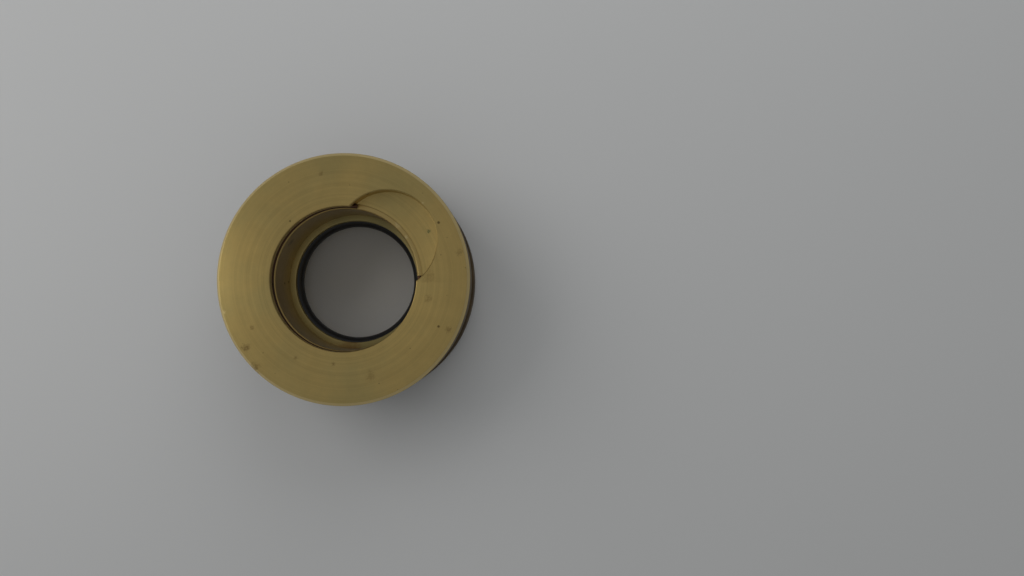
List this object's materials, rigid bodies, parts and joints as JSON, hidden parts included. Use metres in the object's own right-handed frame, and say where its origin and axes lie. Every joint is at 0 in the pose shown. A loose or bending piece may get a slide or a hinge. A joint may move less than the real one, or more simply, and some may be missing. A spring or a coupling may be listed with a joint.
{
  "type": "thru hull fitting",
  "caption": "Round brass thru hull fitting with a stepped, sealed bore, an offset key pocket in its face, and a round backing nut on its barrel.",
  "frame": {"origin": "centre of the barrel's end face, which the fitting stands on", "axes": "+Z along the bore's axis from the barrel's end towards the flange's face; the key pocket lies between +X and +Y"},
  "size_m": [0.0802, 0.0802, 0.0355],
  "materials": {
    "body_brass": "satin turned, lightly tarnished",
    "spring_bronze": "dark oxidised",
    "liner_bronze": "bored, dull",
    "seat_brass": "turned, tarnished",
    "washer_brass": "rolled, dull",
    "nut_brass": "satin turned, tarnished",
    "black_rubber": "semi-matt moulded",
    "stainless_steel": "plain",
    "white_nylon": "cut"
  },
  "bodies": {
    "fitting_body": {"hull_body": "body_brass", "retaining_ring": "spring_bronze", "bore_liner": "liner_bronze", "seal_seat_ring": "seat_brass", "bore_o_ring": "black_rubber", "flange_gasket": "black_rubber"},
    "backing_stack": {"backing_gasket": "black_rubber", "backing_washer": "washer_brass"},
    "round_nut": {"ring_nut": "nut_brass", "nut_lock_screw_a": "stainless_steel", "nut_lock_pad_a": "white_nylon", "nut_lock_screw_b": "stainless_steel", "nut_lock_pad_b": "white_nylon"},
    "thrust_washer": {"gland_thrust_washer": "washer_brass"},
    "gland_ring": {"gland_nut": "nut_brass"}
  },
  "joints": [
    {"name": "backing_travel", "type": "slide", "parent": "fitting_body", "child": "backing_stack", "axis": [0, 0, 1], "range_m": [0, 0.00552]},
    {"name": "nut_turn", "type": "hinge", "parent": "backing_stack", "child": "round_nut", "pos_m": [0, 0, 0.0064], "axis": [0, 0, 1], "range_deg": [0, 860]},
    {"name": "thrust_travel", "type": "slide", "parent": "fitting_body", "child": "thrust_washer", "axis": [0, 0, 1], "range_m": [-0.00126, 0]},
    {"name": "gland_turn", "type": "hinge", "parent": "thrust_washer", "child": "gland_ring", "pos_m": [0, 0, 0.003], "axis": [0, 0, 1], "range_deg": [-300, 0]}
  ],
  "couplings": [
    {"joint": "backing_travel", "follows": "nut_turn", "m_per_rad": 0.00036749},
    {"joint": "thrust_travel", "follows": "gland_turn", "m_per_rad": 0.00023873}
  ]
}
